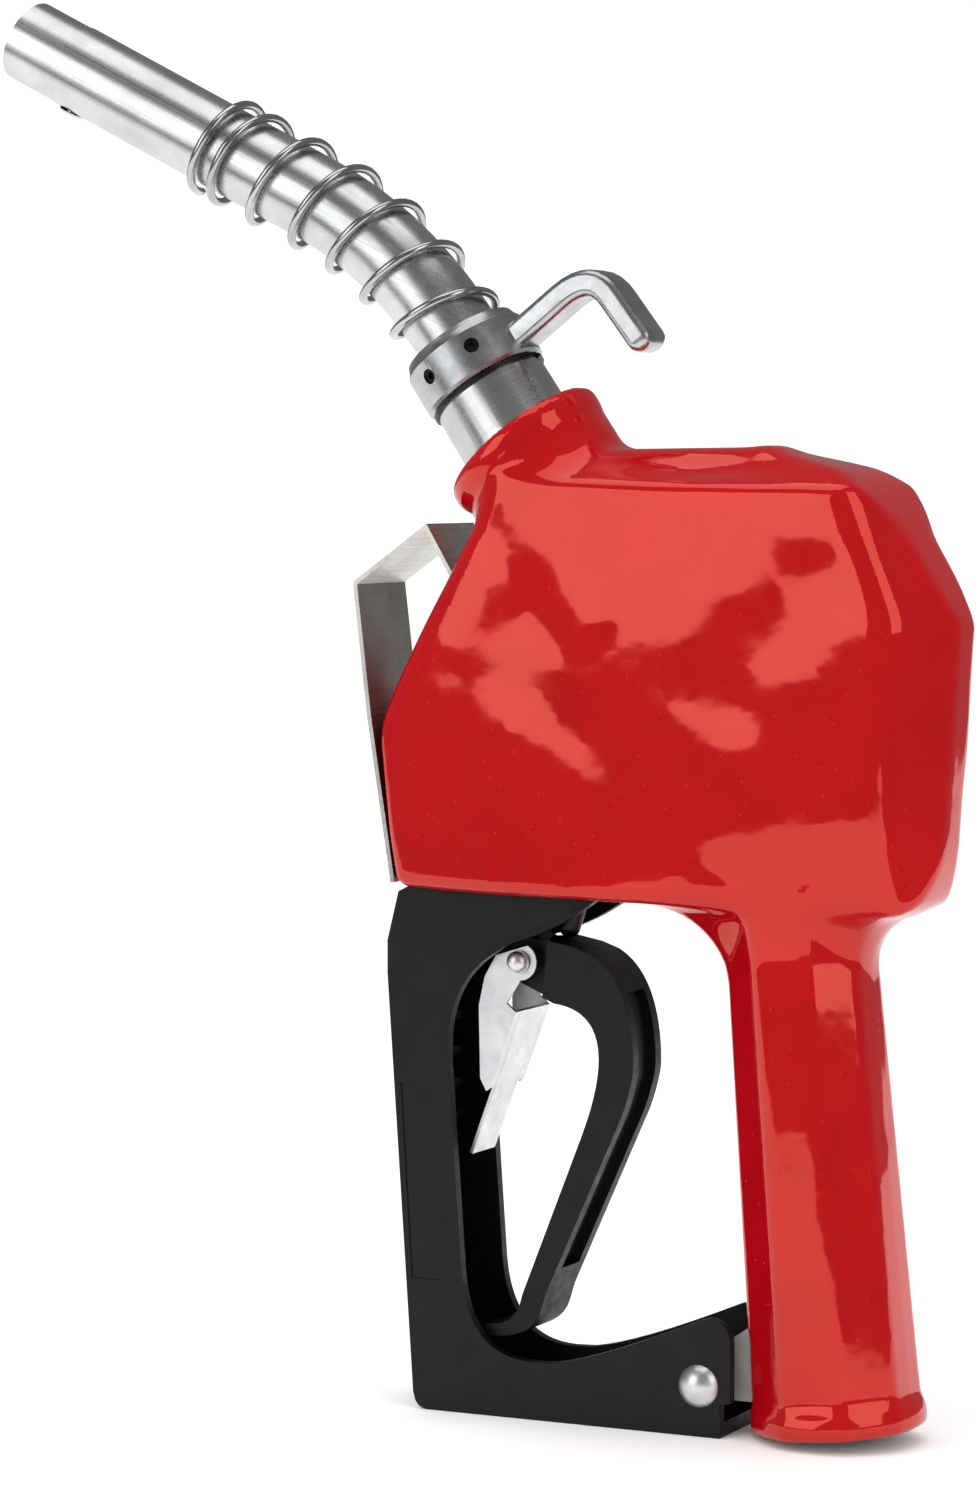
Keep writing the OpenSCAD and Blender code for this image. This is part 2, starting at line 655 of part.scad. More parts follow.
hand_insulator();
body_casting();
spout_adapter();
adapter_o_ring();
snap_ring();
spout_tube();
spout_o_ring();
vacuum_tube();
sensing_plug();
spout_spring();
hook_ring();
hook_set_screws();
hanger_strap();
strap_screws();
lever_guard();
guard_screws();
guard_rivet();
lever();
lever_pin();
hold_open_clip();
clip_spring();
plunger();
plunger_spring();
latch_balls();
latch_pin();
diaphragm();
diaphragm_spring();
diaphragm_cap();
diaphragm_screws();
valve_stem();
main_poppet();
poppet_seal();
poppet_spring();
poppet_cap();
cap_o_ring();
stem_packing();
packing_nut();
check_poppet();
check_spring();
check_seat();
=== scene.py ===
# The looks of an automatic fuel nozzle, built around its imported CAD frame. The scene is in metres. The
# red sleeve and the spout's outer spring are modelled here in mm. The other pieces are the CAD's own.
import json
import math

import bmesh
import bpy
import numpy as np
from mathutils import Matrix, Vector


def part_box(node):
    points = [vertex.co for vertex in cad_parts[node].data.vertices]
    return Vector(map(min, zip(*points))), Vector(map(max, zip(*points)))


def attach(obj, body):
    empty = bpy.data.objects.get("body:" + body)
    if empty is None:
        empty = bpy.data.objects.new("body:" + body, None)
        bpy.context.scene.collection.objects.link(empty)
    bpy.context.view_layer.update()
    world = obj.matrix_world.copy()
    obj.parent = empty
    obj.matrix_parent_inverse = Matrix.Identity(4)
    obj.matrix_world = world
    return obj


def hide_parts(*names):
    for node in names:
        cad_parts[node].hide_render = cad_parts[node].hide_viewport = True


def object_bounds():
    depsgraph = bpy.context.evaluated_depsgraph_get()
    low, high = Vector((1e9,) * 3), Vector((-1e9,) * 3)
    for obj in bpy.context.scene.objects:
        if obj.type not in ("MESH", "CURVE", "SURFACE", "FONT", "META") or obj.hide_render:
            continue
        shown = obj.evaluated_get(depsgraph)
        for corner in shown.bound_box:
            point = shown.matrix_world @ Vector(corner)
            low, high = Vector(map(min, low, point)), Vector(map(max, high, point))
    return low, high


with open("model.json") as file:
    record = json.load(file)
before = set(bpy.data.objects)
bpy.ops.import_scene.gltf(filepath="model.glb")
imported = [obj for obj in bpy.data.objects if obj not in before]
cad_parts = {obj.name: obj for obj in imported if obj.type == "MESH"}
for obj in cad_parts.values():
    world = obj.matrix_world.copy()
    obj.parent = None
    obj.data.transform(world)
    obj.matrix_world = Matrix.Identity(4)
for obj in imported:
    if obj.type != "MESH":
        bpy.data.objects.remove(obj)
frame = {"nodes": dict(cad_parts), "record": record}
CAD_BOX = [list(corner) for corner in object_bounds()]
MM = 0.001

# The object's axes, as in its CAD frame: x to the rear, y across, z up. The neck leans forward by
# NECK_LEAN, and the spout bends on by BEND. MOUTH is the middle of the sleeve's mouth, in mm.
NECK_LEAN = math.radians(34)
BEND = math.radians(29)
GRIP_LEAN = math.radians(5)
MOUTH = np.array([-93.0, 0.0, 259.5])
NECK_UP = np.array([-math.sin(NECK_LEAN), 0, math.cos(NECK_LEAN)])
NECK_ACROSS = np.array([math.cos(NECK_LEAN), 0, math.sin(NECK_LEAN)])
GRIP_UP = np.array([-math.sin(GRIP_LEAN), 0, math.cos(GRIP_LEAN)])
GRIP_ACROSS = np.array([math.cos(GRIP_LEAN), 0, math.sin(GRIP_LEAN)])


# ---------------------------------------------------------------- camera, floor and light
AIM_SHIFT = (0.0058, 0, -0.0126)
FLOOR_GAP = 0.0001


def add_camera():
    """A long lens that looks a little down on the near side, with the spout to the left."""
    azimuth, elevation, distance = math.radians(26), math.radians(3.5), 1.2475
    low, high = (np.array(corner) for corner in CAD_BOX)
    aim = Vector((low + high) / 2) + Vector(AIM_SHIFT)
    back = Vector((math.sin(azimuth) * math.cos(elevation),
                   -math.cos(azimuth) * math.cos(elevation), math.sin(elevation)))
    data = bpy.data.cameras.new("camera")
    data.lens = 110
    data.sensor_width = 36
    data.clip_end = 20
    camera = bpy.data.objects.new("camera", data)
    camera.location = aim + back * distance
    camera.rotation_euler = back.to_track_quat("Z", "Y").to_euler()
    bpy.context.scene.collection.objects.link(camera)
    bpy.context.scene.camera = camera


def area_light(name, place, aim, size, power):
    """A white rectangular light that faces a point."""
    data = bpy.data.lights.new(name, "AREA")
    data.shape = "RECTANGLE"
    data.size, data.size_y = size
    data.energy = power
    light = bpy.data.objects.new(name, data)
    light.location = place
    light.rotation_euler = (Vector(place) - Vector(aim)).to_track_quat("Z", "Y").to_euler()
    bpy.context.scene.collection.objects.link(light)


def add_stage():
    """A matt white floor just under the object."""
    floor_z = CAD_BOX[0][2] - FLOOR_GAP
    mesh = bpy.data.meshes.new("floor")
    left, right, front, back = -5.0, 0.5, -0.6, 6.0
    mesh.from_pydata([(left, front, floor_z), (right, front, floor_z), (right, back, floor_z),
                      (left, back, floor_z)], [], [(0, 1, 2, 3)])
    floor = bpy.data.objects.new("floor", mesh)
    bpy.context.scene.collection.objects.link(floor)
    material = bpy.data.materials.new("floor")
    material.use_nodes = True
    shader = material.node_tree.nodes["Principled BSDF"]
    shader.inputs["Base Color"].default_value = (0.93, 0.93, 0.93, 1)
    shader.inputs["Roughness"].default_value = 0.9
    shader.inputs["Specular IOR Level"].default_value = 0.0
    mesh.materials.append(material)


# ---------------------------------------------------------------- materials
class Paint:
    """A procedural material: noise and wave fields drive its colour, roughness and bump."""

    def __init__(self, name, metallic=0.0, specular=0.5):
        self.material = bpy.data.materials.new(name)
        self.material.use_nodes = True
        self.nodes = self.material.node_tree.nodes
        self.links = self.material.node_tree.links
        self.shader = self.nodes["Principled BSDF"]
        self.shader.inputs["Metallic"].default_value = metallic
        self.shader.inputs["Specular IOR Level"].default_value = specular
        self.place = self.nodes.new("ShaderNodeTexCoord").outputs["Object"]

    def stretched(self, scale, turn=(0, 0, 0)):
        """Object coordinates turned, then scaled along each axis, in cycles a metre."""
        mapping = self.nodes.new("ShaderNodeMapping")
        mapping.vector_type = "TEXTURE"
        mapping.inputs["Rotation"].default_value = turn
        self.links.new(self.place, mapping.inputs["Vector"])
        scaling = self.nodes.new("ShaderNodeMapping")
        scaling.inputs["Scale"].default_value = scale
        self.links.new(mapping.outputs["Vector"], scaling.inputs["Vector"])
        return scaling.outputs["Vector"]

    def noise(self, scale=1.0, detail=4.0, roughness=0.55, vector=None, distortion=0.0):
        """A noise field, in cycles a metre of object space unless a vector is given."""
        node = self.nodes.new("ShaderNodeTexNoise")
        node.inputs["Scale"].default_value = scale
        node.inputs["Detail"].default_value = detail
        node.inputs["Roughness"].default_value = roughness
        node.inputs["Distortion"].default_value = distortion
        self.links.new(vector or self.place, node.inputs["Vector"])
        return node.outputs["Fac"]

    def specks(self, scale, size):
        """1 inside small round specks scattered over the surface, 0 elsewhere."""
        node = self.nodes.new("ShaderNodeTexVoronoi")
        node.inputs["Scale"].default_value = scale
        self.links.new(self.place, node.inputs["Vector"])
        return self.ramp(node.outputs["Distance"], [(0, 1), (size, 1), (size * 1.6, 0)])

    def ramp(self, value, stops):
        """Maps a value through (position, level or colour) stops."""
        node = self.nodes.new("ShaderNodeValToRGB")
        elements = node.color_ramp.elements
        while len(elements) < len(stops):
            elements.new(0.5)
        for element, (position, level) in zip(elements, stops):
            element.position = position
            element.color = (*level, 1) if isinstance(level, tuple) else (level, level, level, 1)
        self.links.new(value, node.inputs["Fac"])
        return node.outputs["Color"]

    def color(self, value, stops):
        """The base colour, from a value through colour stops."""
        self.links.new(self.ramp(value, stops), self.shader.inputs["Base Color"])

    def roughness(self, value, low, high):
        """The roughness, from low to high as a value rises."""
        self.links.new(self.ramp(value, [(0.3, low), (0.7, high)]), self.shader.inputs["Roughness"])

    def bump(self, value, depth_mm, strength=1.0, under=None):
        """A relief from a value, on top of the one under it. Returns the relief so far."""
        node = self.nodes.new("ShaderNodeBump")
        node.inputs["Distance"].default_value = depth_mm * MM
        node.inputs["Strength"].default_value = strength
        self.links.new(value, node.inputs["Height"])
        if under is not None:
            self.links.new(under, node.inputs["Normal"])
        self.links.new(node.outputs["Normal"], self.shader.inputs["Normal"])
        return node.outputs["Normal"]


def red_vinyl():
    """Glossy red vinyl: soft waves, fine ripple and a few specks under tinted reflections."""
    paint = Paint("red_vinyl", specular=0.9)
    paint.shader.inputs["IOR"].default_value = 1.8
    paint.shader.inputs["Specular Tint"].default_value = (1.0, 0.26, 0.18, 1.0)
    flow = paint.noise(38, 2, 0.5)
    paint.color(flow, [(0.3, (0.35, 0.0016, 0.005)), (0.7, (0.41, 0.0025, 0.007))])
    paint.roughness(paint.noise(160, 3), 0.035, 0.08)
    waves = paint.bump(paint.noise(19, 1.5, 0.4, distortion=0.7), 0.75)
    ripple = paint.bump(paint.noise(90, 2, 0.5), 0.05, under=waves)
    paint.bump(paint.specks(300, 0.05), 0.05, 0.5, under=ripple)
    return paint.material


def black_nylon():
    """Moulded black nylon with a fine grain."""
    paint = Paint("black_nylon", specular=0.24)
    paint.color(paint.noise(120, 4), [(0.3, (0.0022, 0.0022, 0.0022)), (0.7, (0.0042, 0.0042, 0.0039))])
    paint.roughness(paint.noise(300, 4), 0.34, 0.5)
    broad = paint.bump(paint.noise(90, 3), 0.05)
    paint.bump(paint.noise(1900, 3, 0.6), 0.05, 0.7, under=broad)
    return paint.material


def metal(name, dark, light, low, high, grain=(900, 900, 900), turn=(0, 0, 0), depth=0.01, blotch=60,
          metallic=1.0):
    """A bare or plated metal: grain gives its scratches and draw lines, blotch its stains.

    Its colour goes from dark to light and its roughness from low to high."""
    paint = Paint(name, metallic)
    lines = paint.noise(1, 5, 0.65, paint.stretched(grain, turn))
    stains = paint.noise(blotch, 4, 0.6, distortion=0.4)
    paint.color(stains, [(0.32, dark), (0.68, light)])
    paint.roughness(lines, low, high)
    paint.bump(lines, depth)
    return paint.material


def plain_moulded(name, dark, light, low, high):
    """Rubber or packing: an even moulded material, with no grain."""
    paint = Paint(name)
    paint.color(paint.noise(200, 4), [(0.3, dark), (0.7, light)])
    paint.roughness(paint.noise(500, 4), low, high)
    paint.bump(paint.noise(1500, 3), 0.02)
    return paint.material


# Turns that lay a grain's third axis along the spout's straight end and along the neck.
SPOUT_TURN = (0, -NECK_LEAN - BEND, 0)
NECK_TURN = (0, -NECK_LEAN, 0)
MATERIALS = {
    "red_vinyl": red_vinyl(),
    "black_nylon": black_nylon(),
    "spout_aluminium": metal("spout_aluminium", (0.50, 0.51, 0.52), (0.66, 0.67, 0.68), 0.2, 0.36,
                             (1500, 1500, 14), SPOUT_TURN, 0.008),
    "cast_metal": metal("cast_metal", (0.38, 0.39, 0.40), (0.55, 0.56, 0.57), 0.22, 0.34,
                        (260, 260, 260), depth=0.02),
    "turned_aluminium": metal("turned_aluminium", (0.48, 0.485, 0.49), (0.60, 0.605, 0.61), 0.2, 0.3,
                              (20, 20, 1400), NECK_TURN, 0.004, blotch=22),
    "rough_casting": metal("rough_casting", (0.34, 0.33, 0.32), (0.46, 0.45, 0.43), 0.55, 0.7,
                           (500, 500, 500), depth=0.05, metallic=0.35),
    "spring_steel": metal("spring_steel", (0.42, 0.42, 0.42), (0.55, 0.55, 0.55), 0.1, 0.2,
                          (700, 700, 700), depth=0.004),
    "zinc_plate": metal("zinc_plate", (0.62, 0.63, 0.65), (0.80, 0.81, 0.82), 0.3, 0.44,
                        (300, 300, 300), depth=0.01, blotch=140),
    "stainless_strap": metal("stainless_strap", (0.42, 0.41, 0.38), (0.60, 0.59, 0.55), 0.22, 0.4,
                             (900, 10, 900), depth=0.006),
    "brass_trim": metal("brass_trim", (0.45, 0.31, 0.12), (0.62, 0.46, 0.2), 0.2, 0.34),
    "black_oxide": metal("black_oxide", (0.02, 0.02, 0.02), (0.045, 0.045, 0.045), 0.3, 0.5),
    "black_rubber": plain_moulded("black_rubber", (0.010,) * 3, (0.018,) * 3, 0.5, 0.7),
    "white_packing": plain_moulded("white_packing", (0.70, 0.70, 0.66), (0.82, 0.82, 0.78), 0.3, 0.5),
}


# ---------------------------------------------------------------- solid shapes as distance fields, mm
def smooth_max(a, b, k):
    """The larger of two fields, blended where they differ by less than k."""
    h = np.clip(0.5 + 0.5 * (a - b) / k, 0, 1)
    return b * (1 - h) + a * h + k * h * (1 - h)


def smooth_min(a, b, k):
    """The smaller of two fields, blended where they differ by less than k."""
    return -smooth_max(-a, -b, k)


BLOCK_MIDDLE = (-50.0, 0.0, 195.0)


def facet(*corners):
    """The plane through three points of the near half, as its outward normal and offset."""
    a, b, c = (np.array(corner, float) for corner in corners)
    normal = np.cross(b - a, c - a)
    normal /= np.linalg.norm(normal)
    offset = normal @ a
    return (normal, offset) if normal @ np.array(BLOCK_MIDDLE) < offset else (-normal, -offset)


# The body's block: half its thickness, where its rear ridge lies across it, and the width of the
# strip along its side's edge. Each facet has the radius, in mm, that blends it with the ones before.
HALF_THICK = 24.4
RIDGE = 7.0
STRIP = 3.2
BLOCK_FACETS = [
    # the broad side, and the taper towards the front
    (facet((0, HALF_THICK, 150), (-60, HALF_THICK, 150), (-60, HALF_THICK, 240)), 6),
    (facet((-92, 25.4, 150), (-131, 15.2, 150), (-131, 15.2, 190)), 8),
    # the front, its diagonal under the neck, and the bottom
    (facet((-124.4, 0, 140), (-131.4, 0, 185), (-131.4, 9, 185)), 3),
    (facet((-131.4, 0, 185), (-99.5, 0, 239), (-99.5, 9, 239)), 5),
    (facet((-125, 0, 139.8), (0, 0, 138.2), (0, 9, 138.2)), 4),
    # the top, its slope to the side, and its fall to the rear
    (facet((-57, 0, 259.4), (-20, 0, 259.8), (-20, 9, 259.8)), 2.5),
    (facet((-30, HALF_THICK, 249.2), (0, HALF_THICK, 248.6), (0, 9, 259.0)), 2.2),
    (facet((-22, 0, 260.4), (8, 0, 253.2), (8, 9, 253.2)), 2),
    # the slanted rear corner in two steps, then the rear
    (facet((7, 0, 253.6), (17.5, 0, 244.4), (17.5, 9, 244.4)), 3),
    (facet((17, 0, 244.8), (35, 0, 213.8), (35, 9, 213.8)), 2),
    (facet((35, 0, 214), (29.8, 0, 142), (29.8, 9, 142)), 1.6),
    # the chamfer between the rear and the bottom
    (facet((30.4, 0, 148), (23.6, 0, 137.5), (23.6, 9, 137.5)), 5),
    # the facets between the side and the rear, with a narrow strip along their edge
    (facet((24.2, HALF_THICK - STRIP, 215), (34.6, RIDGE, 214), (29.4, RIDGE, 142)), 1.4),
    (facet((24.2, HALF_THICK - STRIP, 215), (11.6, HALF_THICK - STRIP, 249), (34.6, RIDGE, 214)), 1.4),
    (facet((19.6, HALF_THICK, 215), (24.6, HALF_THICK - STRIP, 214.6), (20.6, HALF_THICK - STRIP, 150)), 1),
    (facet((19.6, HALF_THICK, 215), (7.2, HALF_THICK, 248), (24.6, HALF_THICK - STRIP, 214.6)), 1),
]
# The grip's section, as corners of its near half from the rear to the front. It widens by GRIP_TAPER
# from its top to its foot, and swells into the block above SWELL_START.
GRIP_SECTION = [(18.6, 0), (18.3, 8.6), (8.0, 18.3), (-6.8, 18.3), (-19.3, 8.0), (-20.2, 0)]
GRIP_TOP, GRIP_FOOT, GRIP_END = 120.0, 0.0, 143
GRIP_TAPER, TAPER_SPAN = 0.12, (-0.3, 1.05)
GRIP_ROUND, GRIP_END_ROUND = 1.5, 6
SWELL_START, SWELL_SPAN, SWELL, SWELL_EASE = 124, 30, 0.008, 3
# The block's sides flare out from its underside up to the shoulder, a curve that peaks at SHOULDER_X.
SHOULDER_X, SHOULDER_Z, SHOULDER_CURVE = 20, 166, 0.0062
FLARE_NORMAL, FLARE_ROUND = (0.982, -0.19), 5
# The fillet between the grip and the block is narrow at the sides and wide fore and aft, and widens
# further towards the front, by 1 mm in every FRONT_WIDENING mm up to FRONT_FILLET_MORE.
SIDE_FILLET, REAR_FILLET, FRONT_FILLET_MORE, FRONT_WIDENING, FILLET_FADE = 2.5, 19, 6, 3, 1.2
# The neck round the spout's adapter, the rolled rim of its tilted mouth, and the roll round the foot.
# On its rear side the neck is wider, and its fillet and its rim's roll are smaller.
MOUTH_EDGE, MOUTH_TILT = 22, 0.1
NECK_R, NECK_REAR_SWELL, NECK_LENGTH, NECK_END_ROUND = 21.8, 1.5, 60, 6
NECK_FILLET, NECK_FILLET_REAR_LESS = 6, 3
RIM_REAR_LESS, RIM_FILLET, FOOT_FILLET = 0.6, 3, 4
RIM_R, RIM_MIDDLE, RIM_HALF_HEIGHT, RIM_ROUND = 20.4, -3.2, 0.4, 2.9
FOOT_R, FOOT_MIDDLE, FOOT_HALF_HEIGHT, FOOT_ROUND = 20.0, 1.9, 0.6, 2.5
# How far the two halves blend where they meet, on y = 0.
SEAM = 2


def block_field(x, across, z):
    """The body's block: all its facets, each blended with those before it."""
    shape = None
    for (normal, offset), k in BLOCK_FACETS:
        plane = normal[0] * x + normal[1] * across + normal[2] * z - offset
        shape = plane if shape is None else smooth_max(shape, plane, k)
    return shape


def grip_field(u, across, t):
    """The grip's tapered prism. t runs up it, and u to its rear."""
    widen = 1 + GRIP_TAPER * np.clip((GRIP_TOP - t) / (GRIP_TOP - GRIP_FOOT), *TAPER_SPAN)
    above = np.clip(t - SWELL_START, 0, SWELL_SPAN)
    widen = widen + SWELL * above * above / (above + SWELL_EASE)
    shape = None
    for (u0, v0), (u1, v1) in zip(GRIP_SECTION, GRIP_SECTION[1:]):
        length = math.hypot(u1 - u0, v1 - v0)
        normal_u, normal_v = (v1 - v0) / length, (u0 - u1) / length
        plane = (normal_u * (u / widen - u0) + normal_v * (across / widen - v0)) * widen
        shape = plane if shape is None else smooth_max(shape, plane, GRIP_ROUND)
    return shape


def rolled_edge(r, along, ring, middle, half_height):
    """Distance from a short disc. With a radius taken off, it becomes the skin of a rolled edge."""
    return np.sqrt(np.maximum(r - ring, 0) ** 2 + np.maximum(np.abs(along - middle) - half_height, 0) ** 2)


def sleeve_field(p):
    """Signed distance, roughly, to the vinyl sleeve's outer skin, and the coordinates of its openings.

    h and r are along and round the neck, from its mouth. t and u are along and across the grip."""
    x, y, z = p[..., 0], p[..., 1], p[..., 2]
    across = np.sqrt(y * y + SEAM ** 2) - SEAM / (1 + np.abs(y))
    t = x * GRIP_UP[0] + z * GRIP_UP[2]
    u = x * GRIP_ACROSS[0] + z * GRIP_ACROSS[2]
    block = block_field(x, across, z)
    shoulder = SHOULDER_Z - SHOULDER_CURVE * (SHOULDER_X - np.minimum(x, SHOULDER_X)) ** 2
    flare = FLARE_NORMAL[0] * (across - HALF_THICK) + FLARE_NORMAL[1] * (z - shoulder)
    block = smooth_max(block, flare, FLARE_ROUND)
    grip = smooth_max(grip_field(u, across, t), t - GRIP_END, GRIP_END_ROUND)
    fore_and_aft = u * u / (u * u + y * y + 1)
    end_fillet = REAR_FILLET + np.clip(-u / FRONT_WIDENING, 0, FRONT_FILLET_MORE)
    shape = smooth_min(block, grip, SIDE_FILLET + end_fillet * fore_and_aft ** FILLET_FADE)
    h = (x - MOUTH[0]) * NECK_UP[0] + (z - MOUTH[2]) * NECK_UP[2]
    side = (x - MOUTH[0]) * NECK_ACROSS[0] + (z - MOUTH[2]) * NECK_ACROSS[2]
    r = np.sqrt(side * side + y * y)
    rear_side = np.clip(side / MOUTH_EDGE, 0, 1)
    h = h - MOUTH_TILT * (side + MOUTH_EDGE)
    neck = smooth_max(r - NECK_R - NECK_REAR_SWELL * rear_side, -h - NECK_LENGTH, NECK_END_ROUND)
    shape = smooth_min(shape, neck, NECK_FILLET - NECK_FILLET_REAR_LESS * rear_side)
    rim = rolled_edge(r, h, RIM_R, RIM_MIDDLE, RIM_HALF_HEIGHT) - RIM_ROUND
    shape = smooth_min(shape, rim + RIM_REAR_LESS * rear_side, RIM_FILLET)
    foot = rolled_edge(np.hypot(u, y), t, FOOT_R, FOOT_MIDDLE, FOOT_HALF_HEIGHT) - FOOT_ROUND
    shape = smooth_min(shape, foot, FOOT_FILLET)
    return shape + dents(x, across, z), h, r, t, u


# The near half's dents: depth, middle (x, across, z) and reach along each axis.
DENTS = [
    # the hollow along the top edge, one in the rear's upper facet, and a small bump on the top
    (2.3, (-33, 15, 256), (19, 6, 7)),
    (1.2, (22, 14, 231), (8, 4, 10)),
    (-1.0, (-19, 3, 260), (5, 7, 6)),
]
WAVE_DEPTH, FINE_WAVE_DEPTH = 0.30, 0.05


def dents(x, across, z):
    """The depth of the soft vinyl's dents, and of the waves over its block. Waves are in mm a radian."""
    hollow = 0
    for depth, middle, reach in DENTS:
        off = [((value - at) / width) ** 2 for value, at, width in zip((x, across, z), middle, reach)]
        hollow = hollow + depth * np.exp(-off[0] - off[1] - off[2])
    wave = np.sin(x / 9.5 + 0.9 * np.sin(z / 14)) * np.sin(z / 12.5 - 0.7 * np.sin(x / 17) + 1.0)
    fine = np.sin(x / 5.1 + z / 7.7) * np.sin(z / 6.3 - x / 11 + 0.4)
    on_block = np.clip((z - 132) / 20, 0, 1) * np.clip((270 - z) / 14, 0, 1)
    return hollow + on_block * (WAVE_DEPTH * wave + FINE_WAVE_DEPTH * fine)


SKIN = 2.6
MOUTH_CUT, FOOT_CUT, CUT_ROUND, HOLE_ROUND = 0.1, -1.2, 1.2, 0.8
# The sleeve's openings, each a little larger than the piece that passes through it: the neck and the
# grip of the casting, the guard in the floor, the guard's lug in the grip, and the hanger strap.
MOUTH_HOLE_R, MOUTH_HOLE_DEPTH = 18.3, 8
FOOT_HOLE_R, FOOT_HOLE_DEPTH = 18.4, 9
FLOOR_HOLE_X, FLOOR_HOLE_HALF, FLOOR_HOLE_TOP = -85.5, (34.3, 14.9), 147
LUG_HOLE_Z, LUG_HOLE_HALF, LUG_HOLE_REAR = 15.5, (11.2, 7.4), -12
STRAP_HOLE_AT, STRAP_HOLE_LIE, STRAP_HOLE_HALF = (-108.6, 226.6), (0.53, 0.848), (2.2, 15, 9)


def block_hole(a, b, c):
    """A straight-sided hole, from the distances past its three pairs of faces."""
    return np.maximum(np.maximum(a, b), c)


def sleeve_shell(p):
    """The sleeve as a closed shell, open at the neck, the foot, the underside, the lug and the strap."""
    outer, h, r, t, u = sleeve_field(p)
    x, y, z = p[..., 0], p[..., 1], p[..., 2]
    shell = np.maximum(outer, -(outer + SKIN))
    shell = smooth_max(shell, h - MOUTH_CUT, CUT_ROUND)
    shell = smooth_max(shell, FOOT_CUT - t, CUT_ROUND)
    mouth_hole = np.maximum(r - MOUTH_HOLE_R, -h - MOUTH_HOLE_DEPTH)
    foot_hole = np.maximum(np.hypot(u, y) - FOOT_HOLE_R, t - FOOT_HOLE_DEPTH)
    floor_hole = block_hole(np.abs(x - FLOOR_HOLE_X) - FLOOR_HOLE_HALF[0], np.abs(y) - FLOOR_HOLE_HALF[1],
                            z - FLOOR_HOLE_TOP)
    lug_hole = block_hole(np.abs(z - LUG_HOLE_Z) - LUG_HOLE_HALF[0], np.abs(y) - LUG_HOLE_HALF[1],
                          u - LUG_HOLE_REAR)
    strap_x, strap_z = x - STRAP_HOLE_AT[0], z - STRAP_HOLE_AT[1]
    through_strap = strap_x * STRAP_HOLE_LIE[0] + strap_z * STRAP_HOLE_LIE[1]
    along_strap = strap_x * -STRAP_HOLE_LIE[1] + strap_z * STRAP_HOLE_LIE[0]
    strap_hole = block_hole(np.abs(through_strap) - STRAP_HOLE_HALF[0], np.abs(y) - STRAP_HOLE_HALF[1],
                            np.abs(along_strap) - STRAP_HOLE_HALF[2])
    for hole in (mouth_hole, foot_hole, floor_hole, lug_hole, strap_hole):
        shell = smooth_max(shell, -hole, HOLE_ROUND)
    return shell


CELL_CORNERS = [(i, j, k) for i in (0, 1) for j in (0, 1) for k in (0, 1)]


def surface_net(field, low, high, step):
    """A closed quad mesh of field = 0 inside a box: one vertex in each cell that the surface crosses."""
    axes = [np.arange(a, b + step, step) for a, b in zip(low, high)]
    grid = np.stack(np.meshgrid(*axes, indexing="ij"), axis=-1)
    value = field(grid)
    n = value.shape

    def corner(offset):
        return tuple(slice(o, n[axis] - 1 + o) for axis, o in enumerate(offset))

    total = np.zeros([size - 1 for size in n] + [3])
    count = np.zeros([size - 1 for size in n])
    for a in CELL_CORNERS:
        for axis in range(3):
            if a[axis]:
                continue
            b = tuple(o + (i == axis) for i, o in enumerate(a))
            fa, fb = value[corner(a)], value[corner(b)]
            crosses = (fa < 0) != (fb < 0)
            share = np.where(crosses, fa / np.where(crosses, fa - fb, 1), 0)
            point = grid[corner(a)] + share[..., None] * (np.array(b) - a) * step
            total += np.where(crosses[..., None], point, 0)
            count += crosses
    active = count > 0
    index = np.full(active.shape, -1)
    index[active] = np.arange(active.sum())
    points = total[active] / count[active][:, None]
    faces = []
    for axis in range(3):
        one, two = (axis + 1) % 3, (axis + 2) % 3
        first = [slice(1, size - 1) for size in n]
        second = [slice(1, size - 1) for size in n]
        first[axis] = slice(0, n[axis] - 1)
        second[axis] = slice(1, n[axis])
        inside_a, inside_b = value[tuple(first)] < 0, value[tuple(second)] < 0
        cells = np.argwhere(inside_a != inside_b)
        flip = inside_b[tuple(cells.T)]
        base = cells.copy()
        base[:, one] += 1
        base[:, two] += 1
        quad = []
        for d_one, d_two in ((1, 1), (0, 1), (0, 0), (1, 0)):
            cell = base.copy()
            cell[:, one] -= d_one
            cell[:, two] -= d_two
            quad.append(index[tuple(cell.T)])
        quad = np.stack(quad, axis=1)
        quad[flip] = quad[flip][:, ::-1]
        faces.append(quad)
    return settle(field, points, step), np.concatenate(faces)


def settle(field, points, step):
    """Moves points onto the surface along the field's slope, a little at a time."""
    reach, passes, least_slope, most_move = 0.05, 4, 0.25, 0.4 * step
    for _ in range(passes):
        value = field(points)
        slope = np.stack([field(points + reach * unit) - field(points - reach * unit)
                          for unit in np.eye(3)], axis=1) / (2 * reach)
        size = np.maximum((slope ** 2).sum(axis=1), least_slope)
        move = slope * (value / size)[:, None]
        length = np.linalg.norm(move, axis=1)
        limit = np.minimum(1, most_move / np.maximum(length, 1e-9))
        points = points - move * limit[:, None]
    return points


def make_mesh(name, points, faces, material):
    """A smooth-shaded piece from points in metres."""
    mesh = bpy.data.meshes.new(name)
    mesh.from_pydata([tuple(p) for p in points], [], [tuple(int(i) for i in f) for f in faces])
    mesh.validate()
    piece = bpy.data.objects.new(name, mesh)
    bpy.context.scene.collection.objects.link(piece)
    mesh.materials.append(material)
    mesh.polygons.foreach_set("use_smooth", [True] * len(mesh.polygons))
    return piece


# ---------------------------------------------------------------- the CAD nodes' finishes
# Nodes whose finish differs from the material slot that the record gives them.
FINISHES = {"body_casting": "rough_casting", "spout_adapter": "turned_aluminium"}


